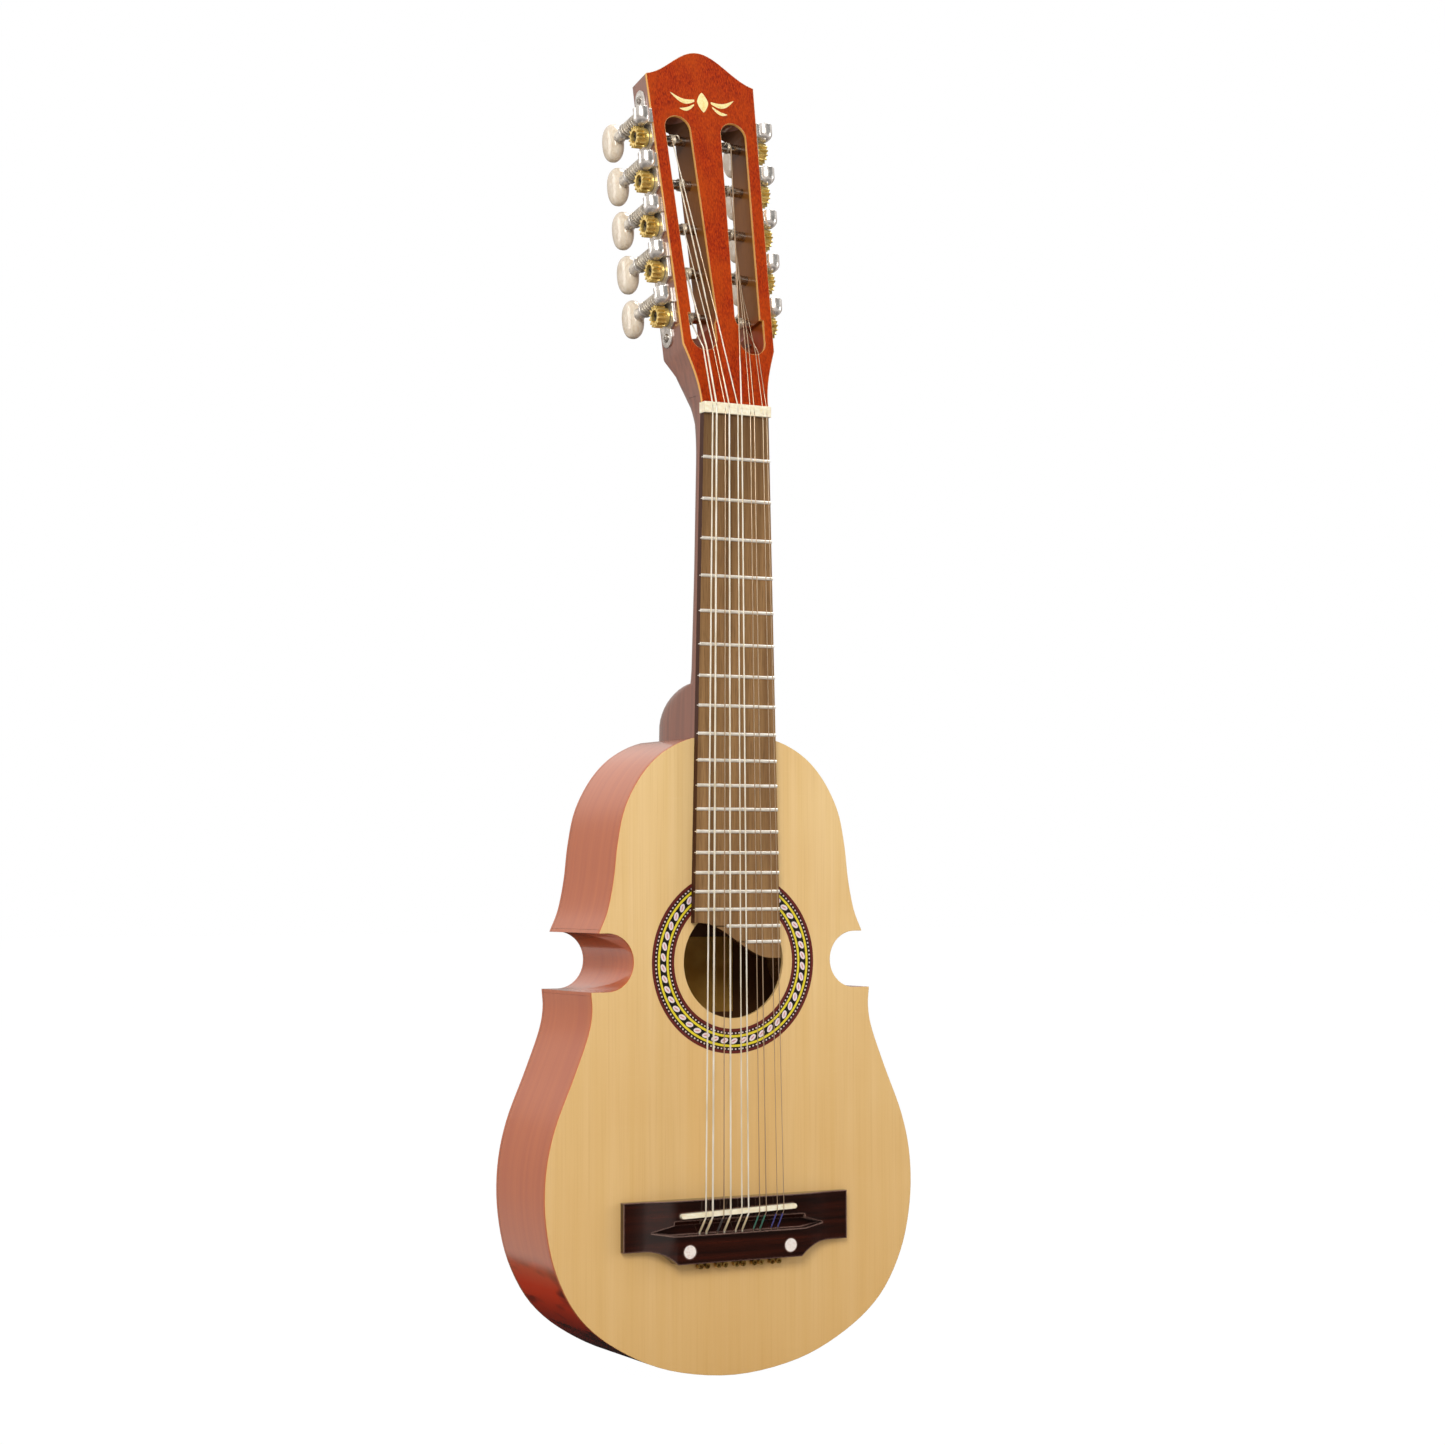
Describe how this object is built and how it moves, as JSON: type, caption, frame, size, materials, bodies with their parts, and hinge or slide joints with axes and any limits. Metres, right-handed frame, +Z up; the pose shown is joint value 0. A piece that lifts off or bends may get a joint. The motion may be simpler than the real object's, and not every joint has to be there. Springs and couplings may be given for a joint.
{
  "type": "ten-string cuatro",
  "caption": "Small plucked string instrument with a waisted hollow body, paired steel strings, fretted neck and a slotted head with geared tuning machines.",
  "frame": {"origin": "on the outer face of the back, on the centre line, straight behind the saddle line", "axes": "+Z up the neck towards the head, -Y out of the soundboard towards the player's audience, +X towards the treble side"},
  "size_m": [0.2644, 0.1063, 0.8668],
  "materials": {
    "spruce": "satin",
    "rosette": "gloss",
    "mahogany": "gloss",
    "inner_wood": "raw",
    "neck_wood": "gloss",
    "veneer": "gloss",
    "fretboard_wood": "satin",
    "fret_wire": "polished",
    "bone": "satin",
    "rosewood": "gloss",
    "pearl": "pearl",
    "steel": "satin",
    "chrome": "polished",
    "string_steel": "bright",
    "brass": "polished",
    "gear_brass": "polished",
    "worm_steel": "satin",
    "button_plastic": "pearloid"
  },
  "bodies": {
    "instrument": {"soundboard": "spruce", "rosette": "rosette", "back_plate": "mahogany", "side_ribs": "mahogany", "body_blocks": "inner_wood", "linings": "inner_wood", "braces": "inner_wood", "neck": "neck_wood", "head_veneer": "veneer", "fretboard": "fretboard_wood", "frets": "fret_wire", "nut": "bone", "bridge": "rosewood", "saddle": "bone", "bridge_dots": "pearl", "bridge_bolts": "steel", "tuner_plates": "chrome", "tuner_screws": "chrome", "strings": "string_steel", "ball_ends": "brass"},
    "knob_l1": {"button_l1": "button_plastic", "worm_l1": "worm_steel"},
    "spindle_l1": {"gear_l1": "gear_brass", "post_l1": "steel"},
    "knob_l2": {"button_l2": "button_plastic", "worm_l2": "worm_steel"},
    "spindle_l2": {"gear_l2": "gear_brass", "post_l2": "steel"},
    "knob_l3": {"button_l3": "button_plastic", "worm_l3": "worm_steel"},
    "spindle_l3": {"gear_l3": "gear_brass", "post_l3": "steel"},
    "knob_l4": {"button_l4": "button_plastic", "worm_l4": "worm_steel"},
    "spindle_l4": {"gear_l4": "gear_brass", "post_l4": "steel"},
    "knob_l5": {"button_l5": "button_plastic", "worm_l5": "worm_steel"},
    "spindle_l5": {"gear_l5": "gear_brass", "post_l5": "steel"},
    "knob_r1": {"button_r1": "button_plastic", "worm_r1": "worm_steel"},
    "spindle_r1": {"gear_r1": "gear_brass", "post_r1": "steel"},
    "knob_r2": {"button_r2": "button_plastic", "worm_r2": "worm_steel"},
    "spindle_r2": {"gear_r2": "gear_brass", "post_r2": "steel"},
    "knob_r3": {"button_r3": "button_plastic", "worm_r3": "worm_steel"},
    "spindle_r3": {"gear_r3": "gear_brass", "post_r3": "steel"},
    "knob_r4": {"button_r4": "button_plastic", "worm_r4": "worm_steel"},
    "spindle_r4": {"gear_r4": "gear_brass", "post_r4": "steel"},
    "knob_r5": {"button_r5": "button_plastic", "worm_r5": "worm_steel"},
    "spindle_r5": {"gear_r5": "gear_brass", "post_r5": "steel"}
  },
  "joints": [
    {"name": "knob_turn_l1", "type": "hinge", "parent": "instrument", "child": "knob_l1", "pos_m": [-0.04593, -0.0272, 0.70973], "axis": [0, 0.9856, -0.1692], "continuous": true},
    {"name": "spindle_turn_l1", "type": "hinge", "parent": "instrument", "child": "spindle_l1", "pos_m": [-0.03864, -0.02899, 0.69934], "axis": [0.9993, 0.0061, 0.0356], "continuous": true},
    {"name": "knob_turn_l2", "type": "hinge", "parent": "instrument", "child": "knob_l2", "pos_m": [-0.0448, -0.03248, 0.67898], "axis": [0, 0.9856, -0.1692], "continuous": true},
    {"name": "spindle_turn_l2", "type": "hinge", "parent": "instrument", "child": "spindle_l2", "pos_m": [-0.03751, -0.03426, 0.66859], "axis": [0.9993, 0.0061, 0.0356], "continuous": true},
    {"name": "knob_turn_l3", "type": "hinge", "parent": "instrument", "child": "knob_l3", "pos_m": [-0.04367, -0.03776, 0.64823], "axis": [0, 0.9856, -0.1692], "continuous": true},
    {"name": "spindle_turn_l3", "type": "hinge", "parent": "instrument", "child": "spindle_l3", "pos_m": [-0.03639, -0.03954, 0.63784], "axis": [0.9993, 0.0061, 0.0356], "continuous": true},
    {"name": "knob_turn_l4", "type": "hinge", "parent": "instrument", "child": "knob_l4", "pos_m": [-0.04254, -0.04304, 0.61748], "axis": [0, 0.9856, -0.1692], "continuous": true},
    {"name": "spindle_turn_l4", "type": "hinge", "parent": "instrument", "child": "spindle_l4", "pos_m": [-0.03526, -0.04482, 0.60709], "axis": [0.9993, 0.0061, 0.0356], "continuous": true},
    {"name": "knob_turn_l5", "type": "hinge", "parent": "instrument", "child": "knob_l5", "pos_m": [-0.04142, -0.04832, 0.58673], "axis": [0, 0.9856, -0.1692], "continuous": true},
    {"name": "spindle_turn_l5", "type": "hinge", "parent": "instrument", "child": "spindle_l5", "pos_m": [-0.03413, -0.0501, 0.57634], "axis": [0.9993, 0.0061, 0.0356], "continuous": true},
    {"name": "knob_turn_r1", "type": "hinge", "parent": "instrument", "child": "knob_r1", "pos_m": [0.04593, -0.0272, 0.70973], "axis": [0, 0.9856, -0.1692], "continuous": true},
    {"name": "spindle_turn_r1", "type": "hinge", "parent": "instrument", "child": "spindle_r1", "pos_m": [0.03864, -0.02899, 0.69934], "axis": [0.9993, -0.0061, -0.0356], "continuous": true},
    {"name": "knob_turn_r2", "type": "hinge", "parent": "instrument", "child": "knob_r2", "pos_m": [0.0448, -0.03248, 0.67898], "axis": [0, 0.9856, -0.1692], "continuous": true},
    {"name": "spindle_turn_r2", "type": "hinge", "parent": "instrument", "child": "spindle_r2", "pos_m": [0.03751, -0.03426, 0.66859], "axis": [0.9993, -0.0061, -0.0356], "continuous": true},
    {"name": "knob_turn_r3", "type": "hinge", "parent": "instrument", "child": "knob_r3", "pos_m": [0.04367, -0.03776, 0.64823], "axis": [0, 0.9856, -0.1692], "continuous": true},
    {"name": "spindle_turn_r3", "type": "hinge", "parent": "instrument", "child": "spindle_r3", "pos_m": [0.03639, -0.03954, 0.63784], "axis": [0.9993, -0.0061, -0.0356], "continuous": true},
    {"name": "knob_turn_r4", "type": "hinge", "parent": "instrument", "child": "knob_r4", "pos_m": [0.04254, -0.04304, 0.61748], "axis": [0, 0.9856, -0.1692], "continuous": true},
    {"name": "spindle_turn_r4", "type": "hinge", "parent": "instrument", "child": "spindle_r4", "pos_m": [0.03526, -0.04482, 0.60709], "axis": [0.9993, -0.0061, -0.0356], "continuous": true},
    {"name": "knob_turn_r5", "type": "hinge", "parent": "instrument", "child": "knob_r5", "pos_m": [0.04142, -0.04832, 0.58673], "axis": [0, 0.9856, -0.1692], "continuous": true},
    {"name": "spindle_turn_r5", "type": "hinge", "parent": "instrument", "child": "spindle_r5", "pos_m": [0.03413, -0.0501, 0.57634], "axis": [0.9993, -0.0061, -0.0356], "continuous": true}
  ],
  "couplings": [
    {"joint": "spindle_turn_l1", "follows": "knob_turn_l1", "ratio": 0.071429},
    {"joint": "spindle_turn_l2", "follows": "knob_turn_l2", "ratio": 0.071429},
    {"joint": "spindle_turn_l3", "follows": "knob_turn_l3", "ratio": 0.071429},
    {"joint": "spindle_turn_l4", "follows": "knob_turn_l4", "ratio": 0.071429},
    {"joint": "spindle_turn_l5", "follows": "knob_turn_l5", "ratio": 0.071429},
    {"joint": "spindle_turn_r1", "follows": "knob_turn_r1", "ratio": 0.071429},
    {"joint": "spindle_turn_r2", "follows": "knob_turn_r2", "ratio": 0.071429},
    {"joint": "spindle_turn_r3", "follows": "knob_turn_r3", "ratio": 0.071429},
    {"joint": "spindle_turn_r4", "follows": "knob_turn_r4", "ratio": 0.071429},
    {"joint": "spindle_turn_r5", "follows": "knob_turn_r5", "ratio": 0.071429}
  ]
}
